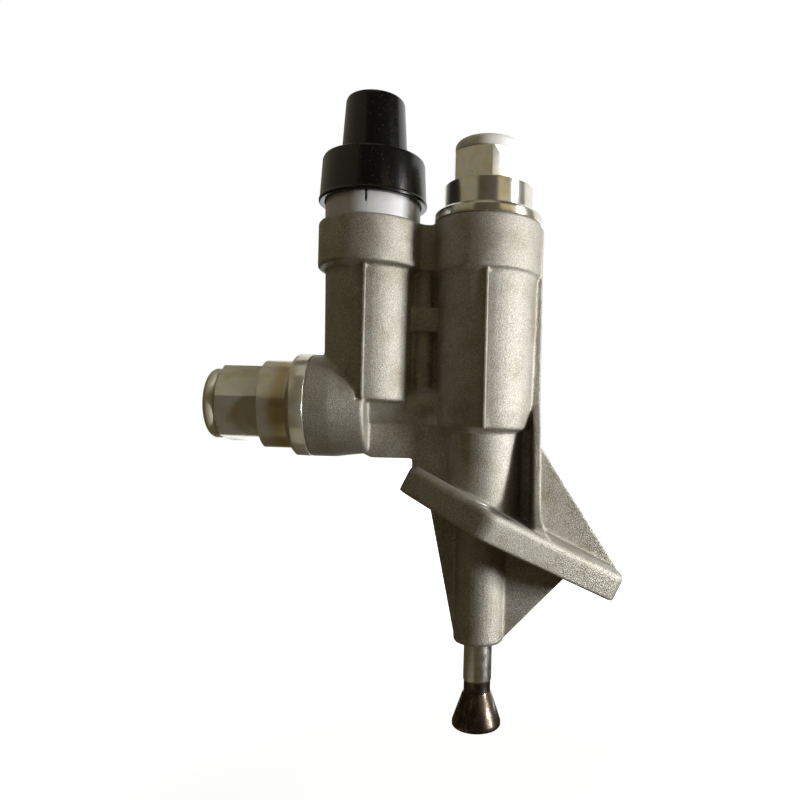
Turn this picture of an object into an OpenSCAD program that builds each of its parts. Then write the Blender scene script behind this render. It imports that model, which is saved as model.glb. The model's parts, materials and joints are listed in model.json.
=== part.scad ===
// Hand fuel transfer pump: a cast body with two upright barrels, a slanted two-bolt flange,
// a spring-loaded push rod below, a push-button primer on the left barrel, and a steel
// valve fitting at the inlet and at the outlet.
// The origin lies where the pump barrel's axis crosses the flange's lower, machined face.
// +Z runs up the pump barrel towards the outlet, and the primer barrel lies on the -X side.

/* [Pump barrel] */
// Outer radius of the pump barrel
barrel_r = 16; // [15:0.1:18]
// Radius of the collar round the barrel's top
collar_r = 17.2; // [16.8:0.1:20]
// Height of the collar
collar_h = 16.3; // [13:0.1:20]
// Length of the barrel, from its lower step to its top
barrel_len = 65.1; // [60:0.1:75]
// Radius of the pump bore
pump_bore_r = 11; // [9:0.1:11.4]
// Thickness of the wall between the pump bore and the rod spring's chamber
floor_wall = 8; // [7:0.1:10]
// Radius of the thread that takes the outlet fitting
port_thread_r = 12.5; // [12:0.1:13]

/* [Primer barrel] */
// Distance between the axes of the two barrels
barrel_gap = 36.8; // [35.5:0.1:40]
// Outer radius of the primer barrel
primer_r = 14.5; // [13.5:0.1:15.5]
// Radius of the primer barrel's collar
primer_collar_r = 16.9; // [16.4:0.1:17.4]
// Height of the primer barrel's collar
primer_collar_h = 14.1; // [12:0.1:16]
// Length of the primer barrel
primer_len = 55.9; // [52:0.1:58]
// Drop from the pump barrel's top to the primer barrel's top
primer_drop = 1.2; // [0:0.1:3]
// Radius of the primer's bore
primer_bore_r = 9; // [8:0.1:10]
// Depth of the primer's bore
primer_bore_len = 41.9; // [38:0.1:43]

/* [Inlet boss and gallery] */
// Height of the inlet's axis above the pump barrel's lower step
inlet_rise = 6.6; // [5:0.1:8]
// Radius of the inlet boss
inlet_boss_r = 16.1; // [15.5:0.1:17]
// Distance from the pump axis to the inlet boss's face
inlet_reach = 54.1; // [52:0.1:60]
// Length of the inlet boss
inlet_boss_len = 18; // [16:0.1:21]
// Outer radius of the cast tube that joins the inlet boss and the pump barrel
gallery_tube_r = 6.9; // [6:0.1:8]
// Radius of the drilled galleries
gallery_r = 4; // [3:0.1:4.5]
// Outer radius of the upright column between the barrels
column_r = 4; // [3.6:0.1:4.6]

/* [Flange and sleeve] */
// Slant of the flange
flange_tilt = 26; // [22:0.5:32]
// Thickness of the flange
flange_t = 8.8; // [7:0.1:11]
// Reach of the flange to the left, along its slope
flange_left = 28.4; // [26:0.1:33]
// Reach of the flange to the right, along its slope
flange_right = 45.2; // [42:0.1:52]
// Distance from the flange's centre to each bolt hole
bolt_offset = 19; // [18:0.1:22]
// Radius of a bolt hole
bolt_hole_r = 4.5; // [4:0.1:5.5]
// Radius of the flange round each bolt hole
bolt_lobe_r = 7.5; // [7:0.1:10]
// Height of the pump barrel's lower step above the flange's centre
sleeve_h = 31.4; // [29:0.1:38]
// Radius of the sleeve above the flange
sleeve_r = 12.3; // [11.5:0.1:13.5]
// Length of the snout below the flange
snout_len = 36; // [30:0.1:40]
// Radius of the snout
snout_r = 8; // [7.6:0.1:9]
// Thickness of the three webs in the pump's middle plane
web_t = 5; // [4:0.1:6.5]
// Thickness of the cross fin on the barrel's right side
fin_t = 2.4; // [2:0.1:4]

/* [Push rod] */
// Radius of the push rod
rod_r = 4.5; // [4:0.1:4.8]
// Length of rod that stands out of the snout
rod_out = 27.6; // [20:0.1:34]
// Radius of the rod's flared foot
foot_r = 7.75; // [6.5:0.05:9]
// Stroke of the rod and the piston
rod_stroke = 7; // [4:0.1:8]
// Height of the piston
piston_h = 14; // [12:0.1:16]

/* [Primer button] */
// Stroke of the primer's button
button_stroke = 6.5; // [4:0.1:6.8]
// Radius of the button's skirt at its lower lip
skirt_r = 17.15; // [16.9:0.05:19]
// Height of the skirt
skirt_h = 14.5; // [12.6:0.1:17]
// Radius of the button's grip at its base
grip_r = 10.5; // [9:0.1:12]
// Height of the grip above the skirt
grip_h = 19.4; // [15:0.1:24]
// Radius of the white guide that the skirt slides over
guide_r = 15; // [14.4:0.05:16]

/* [Fittings] */
// Width across the flats of both fittings
hex_flats = 22; // [21:0.1:24]
// Radius of the round stretch of both fittings
fitting_r = 14; // [13:0.1:14.6]
// Height of the outlet's hexagon
outlet_hex_h = 10.4; // [9:0.1:14]
// Height of the inlet's hexagon
inlet_hex_h = 13.6; // [11:0.1:17]
// Lift of the valve discs
valve_lift = 1.5; // [0.8:0.1:2]
// Height of a protective cap's head
cap_head_h = 4; // [3:0.1:6]

/* [Hidden] */
$fn = 72;

// Clearances: of what runs, of what is screwed or pressed in, of the button's skirt,
// and of a soft seal or a valve from its seat
run_clear = 0.05;
seat_clear = 0.02;
skirt_clear = 0.3;
soft_clear = 0.05;
bite = 1;

// Levels along the pump barrel
barrel_z = sleeve_h;
barrel_top = barrel_z + barrel_len;
bore_step = 2;
bore_floor = barrel_z + bore_step;
chamber_roof = bore_floor - floor_wall;
chamber_floor = 2;
chamber_wall = 4;
chamber_r = sleeve_r - chamber_wall;
fin_proud = 1.8;
fin_x = barrel_r + fin_proud - fin_t / 2;

// Levels along the primer barrel
primer_top = barrel_top - primer_drop;
primer_z = primer_top - primer_len;
primer_floor = primer_top - primer_bore_len;

// Inlet
inlet_z = barrel_z + inlet_rise;
boss_end_x = -(inlet_reach - inlet_boss_len);

// The column stands between the walls of the two barrels, nearer to the primer
column_shift = 0.9;
column_x = -(barrel_gap + barrel_r - primer_r) / 2 - column_shift;
wall_t = 3.2;

// Threads and seals of the fittings and of the guide
spigot_len = 12.2;
inlet_spigot_len = 7.3;
outlet_ring_h = 3.5;
inlet_ring_h = 5.4;
ring_overlap = 0.2;
outlet_ring_r = collar_r - ring_overlap / 2;
inlet_ring_r = inlet_boss_r + ring_overlap;
outlet_round_h = 8.2;
inlet_round_h = 9.3;
cord_r = 1;
groove_depth = 2 * cord_r + seat_clear + soft_clear;
guide_thread_r = 12.05;
guide_spigot_len = 11.9;
outlet_hex_turn = 33.6;
inlet_hex_turn = 39;
// Metal that is faced off the inlet boss
face_stock = 1;

// The upright gallery and its plug, midway between the seals of the outlet and the guide
gallery_x = -(barrel_gap + port_thread_r - guide_thread_r) / 2;
bleed_r = gallery_r / 2;
plug_r = 2.6;
plug_h = 3;

// Faced seats of the two flange bolts
bolt_seat_r = bolt_lobe_r - 1.4;
bolt_seat_depth = 0.4;

// Valves
pocket_r = 8;
seat_h = 4;
seat_hole_r = 4.5;
disc_r = 6.4;
disc_h = 1.6;
port_r = 7.2;
port_depth = 10;
cage_h = 1.4;
valve_wire_r = 0.3;
valve_spring_r = disc_r - 0.5;
stop_r = 5.2;
stop_post_r = 1.5;
outlet_pocket_wall = 3;
inlet_valve_room = 16;
outlet_top = outlet_ring_h + outlet_round_h + outlet_hex_h;
outlet_pocket_top = outlet_ring_h + outlet_round_h - outlet_pocket_wall;
outlet_disc_top = -spigot_len + seat_h + soft_clear + disc_h;
inlet_top = inlet_ring_h + inlet_round_h + inlet_hex_h;
inlet_pocket_top = inlet_valve_room - inlet_spigot_len;
inlet_disc_low = inlet_pocket_top - seat_h - soft_clear - disc_h;

// Push rod
rod_reach = 16;
rod_top = bore_floor + rod_reach;
neck_len = 3.6;
cone_len = 9.3;
foot_rim_h = 1.9;
rod_neck_r = rod_r - 0.25;
clip_h = 1;
clip_z = chamber_floor + 0.3;
spring_seat_h = 1.2;
bush_len = 14;
snout_wall = 2;
bush_r = snout_r - snout_wall;
seal_h = 4;
seal_width = 3.4;
seal_r = rod_r + seal_width;
// Ledge in the spring chamber that stops the spring seat at the end of the stroke
seat_ledge = 0.8;
ledge_z = clip_z + clip_h + spring_seat_h + rod_stroke + soft_clear;

// Pump piston
piston_z = rod_top + seat_clear;
piston_wall = 3;
piston_cup_r = pump_bore_r - piston_wall;
piston_cup_h = 5;
piston_groove_z = 4;
transfer_disc_h = 1.4;
transfer_lift = 1.2;

// Primer
stem_r = 3;
skirt_rise = 6.5;
skirt_z = primer_top + skirt_rise;
roof_t = 2.5;
skirt_roof = skirt_h - roof_t;
stroke_spare = 0.4;
guide_up = skirt_roof + skirt_rise - button_stroke - stroke_spare;
grip_cap = 8;
primer_piston_h = 8;
piston_spare = 0.3;
primer_piston_z = primer_top - guide_spigot_len - primer_piston_h - piston_spare;

// Height of the flange's faces above or below a place on the X axis
function under_z(x) = -x * tan(flange_tilt);
function upper_z(x) = flange_t / cos(flange_tilt) - x * tan(flange_tilt);
// Points of an arc, for the profiles that are turned
function arc(x, y, r, from, to, n = 5) =
    [for (i = [0:n]) [x + r * cos(from + (to - from) * i / n), y + r * sin(from + (to - from) * i / n)]];

// Carries a child from the Z axis to the place that its name says
module at_primer() { translate([-barrel_gap, 0, 0]) children(); }
module at_inlet() { translate([-inlet_reach, 0, inlet_z]) rotate([0, -90, 0]) children(); }
module at_outlet() { translate([0, 0, barrel_top]) children(); }
module on_flange() { rotate([0, flange_tilt, 0]) children(); }
// Keeps what lies on one side of the flange's middle plane
module above_flange() {
    reach = 200;
    intersection() {
        children();
        on_flange() translate([-reach, -reach, flange_t / 2]) cube([2 * reach, 2 * reach, reach]);
    }
}
module below_flange() {
    reach = 200;
    intersection() {
        children();
        on_flange() translate([-reach, -reach, flange_t / 2 - reach]) cube([2 * reach, 2 * reach, reach]);
    }
}
module tube(r_out, r_in, h) {
    difference() {
        cylinder(r = r_out, h = h);
        translate([0, 0, -bite]) cylinder(r = r_in, h = h + 2 * bite);
    }
}
module seal_cord(r_mean) {
    rotate_extrude() translate([r_mean, 0]) circle(r = cord_r, $fn = 24);
}

// A compression spring with closed end turns, standing on z = 0
module coil(mean_r, wire_r, turns, h) {
    sides = 6;
    steps = 14;
    last = turns * steps;
    end_pitch = 2.1 * wire_r;
    free = h - 2 * wire_r - 2 * end_pitch;
    function rise(s) = wire_r + (s < 1 ? s * end_pitch
        : s > turns - 1 ? end_pitch + free + (s - turns + 1) * end_pitch
        : end_pitch + free * (s - 1) / (turns - 2));
    points = [for (i = [0:last]) for (k = [0:sides - 1])
        let (a = 360 * i / steps, b = 360 * k / sides, r = mean_r + wire_r * cos(b))
        [r * cos(a), r * sin(a), rise(i / steps) + wire_r * sin(b)]];
    walls = [for (i = [0:last - 1]) for (k = [0:sides - 1])
        let (n = (k + 1) % sides)
        [i * sides + k, (i + 1) * sides + k, (i + 1) * sides + n, i * sides + n]];
    ends = [[for (k = [0:sides - 1]) k], [for (k = [0:sides - 1]) last * sides + sides - 1 - k]];
    polyhedron(points = points, faces = concat(walls, ends), convexity = 10);
}

// One barrel of the casting: a turned outline with draft, a rounded foot that may taper,
// and a collar at its top
module barrel(r, len, ring_r, ring_len, taper = 0) {
    foot = 1.2;
    lip = 1;
    draft = 0.4;
    taper_h = 9;
    low_r = r - draft - taper;
    rotate_extrude() polygon(concat([[0, 0]],
        arc(low_r - foot, foot, foot, -90, 0),
        [[r - draft - taper / 4, taper_h / 2 + foot], [r - draft, taper_h + foot]],
        [[r, len - ring_len - 1.6], [r + 0.25, len - ring_len - 0.7]],
        arc(ring_r - lip, len - ring_len + lip - 0.3, lip, -60, 0),
        arc(ring_r - 0.7, len - 0.7, 0.7, 0, 90),
        [[0, len]]));
}
// The raised parting rib that runs up a barrel, at its front and its back
module parting_rib(r, from, to) {
    base = 1.8;
    crest = 0.8;
    proud = 0.7;
    root = 2.6;
    for (turn = [-90, 90]) rotate([0, 0, turn]) translate([0, 0, from])
        linear_extrude(to - from) polygon([[r - root, -base / 2], [r - 0.2, -base / 2], [r + proud, -crest / 2],
            [r + proud, crest / 2], [r - 0.2, base / 2], [r - root, base / 2]]);
}
// The fillet between two upright round walls, as a plan
module waist(r_left, r_right, depth) {
    gap = barrel_gap;
    r = (gap * gap / 4 + depth * depth - pow((r_left + r_right) / 2, 2)) / (r_left + r_right - 2 * depth);
    x = -gap / 2 + (r_left - r_right) * ((r_left + r_right) / 2 + r) / gap;
    for (side = [-1, 1]) difference() {
        polygon([[-gap, 0], [x, side * (depth + r)], [0, 0]]);
        translate([x, side * (depth + r)]) circle(r = r);
    }
}
module bridge() {
    low = max(primer_collar_h + primer_drop, collar_h) - 0.6;
    translate([0, 0, barrel_top - low]) linear_extrude(low - primer_drop)
        waist(primer_collar_r, collar_r, 5);
    translate([-barrel_gap, -wall_t / 2, inlet_z])
        cube([barrel_gap, wall_t, barrel_top - low - inlet_z + 1]);
}
// The upright column that holds the drilled gallery, with its square pad
module column() {
    pad_w = 8.4;
    pad_h = 7.5;
    pad_y = column_r + 1.2;
    translate([column_x, 0, inlet_z]) cylinder(r = column_r, h = barrel_top - collar_h - inlet_z + 2);
    translate([column_x - pad_w / 2, -pad_y, inlet_z + 23.7]) cube([pad_w, pad_y, pad_h]);
}
module inlet_boss() {
    edge = 1.2;
    at_inlet() translate([0, 0, -inlet_boss_len]) rotate_extrude() polygon(concat([[0, 0]],
        arc(inlet_boss_r - 1.2 - edge, edge, edge, -90, -5),
        [[inlet_boss_r, inlet_boss_len * 0.6], [inlet_boss_r, inlet_boss_len + face_stock],
            [0, inlet_boss_len + face_stock]]));
    translate([boss_end_x - bite, 0, inlet_z]) rotate([0, 90, 0])
        cylinder(r = gallery_tube_r, h = -boss_end_x);
}
module sleeve() {
    above_flange() union() {
        translate([0, 0, -20]) cylinder(r = sleeve_r, h = sleeve_h + 22);
        translate([0, 0, sleeve_h - 1]) cylinder(r1 = sleeve_r, r2 = sleeve_r + 1.2, h = 1.2);
    }
    below_flange() translate([0, 0, -snout_len]) rotate_extrude() polygon(concat([[0, 0]],
        arc(snout_r - 1.4, 1.4, 1.4, -90, 0),
        [[snout_r + 0.4, snout_len], [snout_r + 0.4, snout_len + 20], [0, snout_len + 20]]));
}
// The flange's outline is a long six-sided diamond whose corners are rounded discs
module flange_corner(r) {
    edge = 2;
    skin = 0.7;
    rotate_extrude($fn = 32) polygon(concat([[0, -skin]],
        arc(r - edge / 2, edge / 2 - skin, edge / 2, -90, 0, 2),
        arc(r - edge, flange_t - edge, edge, 0, 90, 3), [[0, flange_t]]));
}
module flange() {
    end_r = 5;
    left_half = 12.5;
    right_half = 14.5;
    reach = 200;
    on_flange() difference() {
        hull() for (side = [-1, 1]) {
            translate([-flange_left + end_r, side * (left_half - end_r), 0]) flange_corner(end_r);
            translate([0, side * bolt_offset, 0]) flange_corner(bolt_lobe_r);
            translate([flange_right - end_r, side * (right_half - end_r), 0]) flange_corner(end_r);
        }
        translate([-reach, -reach, -2 * reach]) cube(2 * reach);
        // Relief round the snout's root, so that a flat seat clears the slanting snout
        translate([0, 0, -bite]) cylinder(r = snout_r + 2.5, h = bite + 0.8);
    }
}
// The fin across the barrel's right side widens in steps of slope down to the flange's edge,
// where a cast fillet stands at its right side
module fin() {
    flange_half = bolt_offset + 1;
    foot_z = upper_z(fin_x) - sleeve_h;
    half = [[2, barrel_len - 1], [2.4, barrel_len - 17], [4.8, 8], [9, 0], [10.8, -6],
        [14.4, foot_z + 8], [17, foot_z + 4.2], [flange_half, foot_z + 1.6], [flange_half, foot_z - 5]];
    outline = concat([for (p = half) p], [for (i = [len(half) - 1:-1:0]) [-half[i][0], half[i][1]]]);
    fillet_w = 2.6;
    fillet_h = 3.6;
    side_x = fin_x + fin_t / 2;
    above_flange() {
        translate([fin_x - fin_t / 2, 0, barrel_z]) rotate([90, 0, 90])
            linear_extrude(fin_t) polygon(outline);
        intersection() {
            translate([fin_x, 0, barrel_z]) rotate([90, 0, 90])
                linear_extrude(fin_t + fillet_w) polygon(outline);
            rotate([90, 0, 0]) translate([0, 0, -flange_half - 1]) linear_extrude(2 * flange_half + 2)
                polygon([[fin_x, upper_z(side_x) + fillet_h], [side_x, upper_z(side_x) + fillet_h],
                    [side_x + 0.7, upper_z(side_x) + 1.5],
                    [side_x + fillet_w, upper_z(side_x + fillet_w) + 0.05],
                    [side_x + fillet_w, -snout_len], [fin_x, -snout_len]]);
        }
    }
}
module web(points) {
    rotate([90, 0, 0]) translate([0, 0, -web_t / 2]) linear_extrude(web_t) polygon(points);
}
module webs() {
    left_x = -flange_left * cos(flange_tilt) + 8.9;
    right_x = flange_right * cos(flange_tilt) - 12.6;
    top_x = flange_right * cos(flange_tilt) + 2.5;
    // Above the flange: it joins the fin to the barrel's foot and slopes down right of it
    above_flange() web([[0, barrel_z + 12], [fin_x + 0.4, barrel_z + 12], [fin_x + 0.4, barrel_z - 3.4],
        [fin_x + fin_t / 2 + 0.3, barrel_z - 4.2], [top_x, upper_z(top_x) + 0.3],
        [top_x - 2, upper_z(top_x) - 4], [0, 0]]);
    // Below the flange, on both sides of the snout; the slopes run on into the flange
    low = [snout_r - 0.4, -snout_len + 1.4];
    rise_left = [left_x + low[0], under_z(left_x) - low[1]];
    rise_right = [right_x - low[0], under_z(right_x) - low[1]];
    below_flange() web([[-low[0], low[1]], [low[0], low[1]], low + 1.08 * rise_right,
        [0, upper_z(0)], [-low[0], low[1]] + 1.08 * rise_left]);
    // Between the inlet boss, the sleeve and the flange's upper left corner
    corner_x = -flange_left * cos(flange_tilt) + 3.6;
    low_z = max(upper_z(corner_x) + 0.4, inlet_z - inlet_boss_r + 0.1);
    above_flange() rotate([90, 0, 0]) translate([0, 0, -4.5]) linear_extrude(9)
        polygon([[boss_end_x - 2, inlet_z], [boss_end_x - 2, low_z],
            [corner_x - 0.3, low_z], [corner_x, upper_z(corner_x) - 5],
            [0, 0], [0, inlet_z]]);
}
module casting() {
    translate([0, 0, barrel_z]) barrel(barrel_r, barrel_len, collar_r, collar_h, 1);
    at_primer() translate([0, 0, primer_z]) barrel(primer_r, primer_len, primer_collar_r, primer_collar_h);
    parting_rib(barrel_r, barrel_z + 0.6, barrel_top - collar_h);
    at_primer() parting_rib(primer_r, primer_z + 0.6, primer_top - primer_collar_h);
    bridge();
    column();
    inlet_boss();
    sleeve();
    flange();
    fin();
    webs();
}
// The recess that a seal cord sits in, at the mouth of a threaded hole
module seal_recess(thread_r) {
    translate([0, 0, -groove_depth])
        cylinder(r = thread_r + 2 * cord_r + seat_clear, h = groove_depth + bite);
}
module housing() {
    color("#8d8a80") difference() {
        casting();
        // Pump bore, its thread and the seal's recess
        translate([0, 0, bore_floor]) cylinder(r = pump_bore_r, h = barrel_len + bite);
        at_outlet() translate([0, 0, -spigot_len]) cylinder(r = port_thread_r, h = spigot_len + bite);
        at_outlet() seal_recess(port_thread_r);
        // Rod seal's pocket, rod hole, spring chamber and the snout's bore
        translate([0, 0, bore_floor - seal_h]) cylinder(r = seal_r, h = seal_h + bite);
        translate([0, 0, chamber_roof - bite]) cylinder(r = rod_r + run_clear, h = floor_wall + 2 * bite);
        translate([0, 0, chamber_floor]) cylinder(r = chamber_r, h = ledge_z - chamber_floor);
        translate([0, 0, chamber_floor]) cylinder(r = chamber_r - seat_ledge, h = chamber_roof - chamber_floor);
        translate([0, 0, -snout_len - bite]) cylinder(r = bush_r, h = snout_len + chamber_floor + 2 * bite);
        // Primer bore, the guide's thread and recess, and the passage down to the gallery
        at_primer() {
            translate([0, 0, primer_floor]) cylinder(r = primer_bore_r, h = primer_bore_len + bite);
            translate([0, 0, inlet_z]) cylinder(r = bleed_r, h = primer_floor - inlet_z + bite);
            translate([0, 0, primer_top]) {
                translate([0, 0, -guide_spigot_len]) cylinder(r = guide_thread_r, h = guide_spigot_len + bite);
                seal_recess(guide_thread_r);
            }
        }
        // Faced end of the inlet boss, its thread, and the gallery that runs on to the pump bore
        at_inlet() {
            cylinder(r = inlet_boss_r + face_stock, h = inlet_reach);
            translate([0, 0, -inlet_spigot_len]) cylinder(r = port_thread_r, h = inlet_spigot_len + bite);
            seal_recess(port_thread_r);
            translate([0, 0, -inlet_reach + pump_bore_r / 2])
                cylinder(r = gallery_r, h = inlet_reach - pump_bore_r / 2);
        }
        // Upright gallery, closed by its plug
        translate([gallery_x, 0, inlet_z]) cylinder(r = bleed_r, h = primer_top - inlet_z + bite);
        translate([gallery_x, 0, primer_top - plug_h]) cylinder(r = plug_r, h = plug_h + bite);
        // Bolt holes with their faced seats
        on_flange() for (side = [-1, 1]) translate([0, side * bolt_offset, 0]) {
            translate([0, 0, -bite]) cylinder(r = bolt_hole_r, h = flange_t + 2 * bite);
            translate([0, 0, flange_t - bolt_seat_depth]) cylinder(r = bolt_seat_r, h = bite + bolt_seat_depth);
        }
    }
}

// A pressed cup that closes the upright gallery
module gallery_plug() {
    color("#b9b7ad") translate([gallery_x, 0, primer_top - plug_h]) difference() {
        cylinder(r = plug_r - seat_clear, h = plug_h - 0.4);
        translate([0, 0, 1]) cylinder(r = plug_r - 0.8, h = plug_h);
    }
}
// The bronze bush that guides the rod at the snout's mouth
module rod_bush() {
    color("#a9823f") translate([0, 0, -snout_len + 0.6])
        tube(bush_r - seat_clear, rod_r + run_clear, bush_len);
}
// The lip seal that keeps fuel out of the spring chamber
module rod_seal() {
    color("#2b2b2b") translate([0, 0, bore_floor - seal_h]) rotate_extrude()
        polygon([[rod_r + run_clear, 0], [seal_r - seat_clear, 0], [seal_r - seat_clear, seal_h],
            [seal_r - 1, seal_h], [seal_r - 1, 1.2], [rod_r + 1.2, 1.2],
            [rod_r + 0.9, seal_h - 0.4], [rod_r + run_clear, seal_h - 0.4]]);
}

// A steel fitting: threaded spigot, sealing ring, round stretch, hexagon and bores. A tube
// as long as stop_len hangs from the valve pocket's roof and stops the disc
module port_fitting(ring_r, ring_h, round_h, hex_h, hex_turn, spigot, pocket_to, stop_len) {
    top = ring_h + round_h + hex_h;
    hex_r = hex_flats / 2 / cos(30);
    difference() {
        union() {
            translate([0, 0, -spigot]) cylinder(r = port_thread_r - seat_clear, h = spigot + bite);
            rotate_extrude() polygon([[0, 0], [ring_r, 0], [ring_r, ring_h - 1.1], [ring_r - 1.1, ring_h],
                [fitting_r, ring_h], [fitting_r, ring_h + round_h - 0.6],
                [fitting_r - 0.6, ring_h + round_h], [0, ring_h + round_h]]);
            intersection() {
                translate([0, 0, ring_h]) rotate([0, 0, hex_turn])
                    cylinder(r = hex_r, h = top - ring_h, $fn = 6);
                rotate_extrude() polygon([[0, 0], [hex_r + 1, 0], [hex_r + 1, top - 1.3],
                    [hex_flats / 2 - 0.3, top], [0, top]]);
            }
        }
        translate([0, 0, -spigot - bite]) cylinder(r = seat_hole_r, h = spigot + top + 2 * bite);
        difference() {
            translate([0, 0, -spigot - bite]) cylinder(r = pocket_r, h = pocket_to + spigot + bite);
            if (stop_len > 0) translate([0, 0, pocket_to - stop_len])
                cylinder(r = stop_r, h = stop_len + bite);
        }
        translate([0, 0, top - port_depth]) cylinder(r = port_r, h = port_depth + bite);
    }
}
module valve_seat(h) { tube(pocket_r - seat_clear, seat_hole_r, h); }
// A valve disc with three flow notches, clear of its seat by a hair
module valve_disc() {
    difference() {
        cylinder(r = disc_r, h = disc_h);
        for (turn = [0:120:240]) rotate([0, 0, turn]) translate([disc_r + 0.6, 0, -bite])
            cylinder(r = 1.4, h = disc_h + 2 * bite);
    }
}
module fitting_cap() {
    plug_len = port_depth - 1;
    head_r = hex_flats / 2;
    rotate_extrude() polygon(concat([[0, -plug_len], [port_r - 1.2, -plug_len],
        [port_r - run_clear, -plug_len + 1.5], [port_r - run_clear, soft_clear], [head_r - 0.3, soft_clear]],
        arc(head_r - 1.6, cap_head_h - 1.6, 1.6, 0, 90), [[0, cap_head_h]]));
}

module outlet_seal() {
    color("#1c1c1c") at_outlet() translate([0, 0, -groove_depth + cord_r + seat_clear])
        seal_cord(port_thread_r + cord_r);
}
module outlet_fitting() {
    stop_len = outlet_pocket_top - outlet_disc_top - valve_lift - soft_clear;
    color("#b8b39b") at_outlet() port_fitting(outlet_ring_r, outlet_ring_h, outlet_round_h,
        outlet_hex_h, outlet_hex_turn, spigot_len - seat_clear, outlet_pocket_top, stop_len);
}
module outlet_valve_seat() {
    color("#a9a9a2") at_outlet() translate([0, 0, -spigot_len]) valve_seat(seat_h);
}
module outlet_valve_disc() {
    color("#3a3a38") at_outlet() translate([0, 0, outlet_disc_top - disc_h]) valve_disc();
}
module outlet_valve_spring() {
    from = outlet_disc_top + soft_clear;
    color("#9a9a98") at_outlet() translate([0, 0, from])
        coil(valve_spring_r, valve_wire_r, 6, outlet_pocket_top - from - soft_clear);
}
module outlet_cap() {
    color("#f1f0ea") at_outlet() translate([0, 0, outlet_top]) fitting_cap();
}

module inlet_seal() {
    color("#1c1c1c") at_inlet() translate([0, 0, -groove_depth + cord_r + seat_clear])
        seal_cord(port_thread_r + cord_r);
}
module inlet_fitting() {
    color("#b5ae8d") at_inlet() port_fitting(inlet_ring_r, inlet_ring_h, inlet_round_h, inlet_hex_h,
        inlet_hex_turn, inlet_spigot_len - seat_clear, inlet_pocket_top, 0);
}
module inlet_valve_seat() {
    color("#a9a9a2") at_inlet() translate([0, 0, inlet_pocket_top - seat_h]) valve_seat(seat_h - seat_clear);
}
module inlet_valve_disc() {
    color("#3a3a38") at_inlet() translate([0, 0, inlet_disc_low]) valve_disc();
}
module inlet_valve_spring() {
    from = -inlet_spigot_len + cage_h + soft_clear;
    color("#9a9a98") at_inlet() translate([0, 0, from])
        coil(valve_spring_r, valve_wire_r, 5, inlet_disc_low - from - soft_clear);
}
// The pierced plate that the inlet valve's spring stands on, with the post that stops the disc
module inlet_valve_cage() {
    color("#a9a9a2") at_inlet() translate([0, 0, -inlet_spigot_len]) difference() {
        union() {
            cylinder(r = pocket_r - seat_clear, h = cage_h);
            cylinder(r = stop_post_r, h = inlet_disc_low + inlet_spigot_len - valve_lift - soft_clear);
        }
        for (turn = [0:60:300]) rotate([0, 0, turn]) translate([2.9, 0, -bite])
            cylinder(r = 1.1, h = cage_h + 2 * bite);
    }
}
module inlet_cap() {
    color("#e9e7d8") at_inlet() translate([0, 0, inlet_top]) fitting_cap();
}

module guide_seal() {
    color("#1c1c1c") at_primer() translate([0, 0, primer_top - groove_depth + cord_r + seat_clear])
        seal_cord(guide_thread_r + cord_r);
}
// The white guide that closes the primer's bore; a narrow slit marks its front
module primer_guide() {
    slit_w = 0.8;
    color("#e8e7e3") at_primer() translate([0, 0, primer_top]) difference() {
        union() {
            translate([0, 0, -guide_spigot_len])
                cylinder(r = guide_thread_r - seat_clear, h = guide_spigot_len + bite);
            rotate_extrude() polygon([[0, 0], [guide_r, 0], [guide_r, guide_up - 0.8],
                [guide_r - 0.8, guide_up], [0, guide_up]]);
        }
        translate([0, 0, -guide_spigot_len - bite]) cylinder(r = stem_r + run_clear, h = 2 * primer_len);
        translate([-slit_w / 2, -guide_r - bite, 3.7]) cube([slit_w, 3, guide_up]);
        translate([0, 0, guide_up - 5]) cylinder(r = guide_r - 3, h = 5 + bite);
    }
}
// The black button: a hollow skirt below and a solid tapered grip above
module primer_button() {
    draft = 0.95;
    grip_top_r = grip_r - 1.15;
    inner_r = guide_r + skirt_clear;
    top = skirt_h + grip_h;
    color("#191919") at_primer() translate([0, 0, skirt_z]) difference() {
        rotate_extrude() polygon(concat([[0, skirt_roof], [inner_r, skirt_roof], [inner_r, 0]],
            [[skirt_r - 0.5, 0], [skirt_r, 0.5], [skirt_r, 1.3]],
            arc(skirt_r - draft - 1.1, skirt_h - 1.1, 1.1, 0, 90),
            arc(grip_r + 0.8, skirt_h + 0.8, 0.8, -90, -180, 3),
            arc(grip_top_r - 1.4, top - 1.4, 1.4, 0, 90), [[0, top]]));
        cylinder(r = stem_r + seat_clear, h = top - grip_cap);
    }
}
module primer_stem() {
    from = primer_piston_z + 2;
    to = skirt_z + skirt_h + grip_h - grip_cap - bite;
    color("#a9a9a2") at_primer() translate([0, 0, from]) cylinder(r = stem_r, h = to - from);
}
module ringed_piston(bore_r, h, groove_z) {
    difference() {
        cylinder(r = bore_r - run_clear, h = h);
        translate([0, 0, groove_z - cord_r])
            tube(bore_r + 1, bore_r - 2 * cord_r - seat_clear, 2 * cord_r);
    }
}
module piston_seal(bore_r) {
    ring_r = cord_r - soft_clear;
    rotate_extrude() translate([bore_r - run_clear / 2 - ring_r, 0]) circle(r = ring_r, $fn = 24);
}
module primer_piston() {
    color("#b9b7ad") at_primer() translate([0, 0, primer_piston_z]) difference() {
        ringed_piston(primer_bore_r, primer_piston_h, primer_piston_h / 2);
        translate([0, 0, 2 - seat_clear]) cylinder(r = stem_r + seat_clear, h = primer_piston_h);
    }
}
module primer_ring() {
    color("#1c1c1c") at_primer() translate([0, 0, primer_piston_z + primer_piston_h / 2])
        piston_seal(primer_bore_r);
}
module primer_spring() {
    color("#9a9a98") at_primer() translate([0, 0, primer_floor + soft_clear])
        coil(primer_bore_r - 2.2, 0.55, 7, primer_piston_z - primer_floor - 2 * soft_clear);
}

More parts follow.
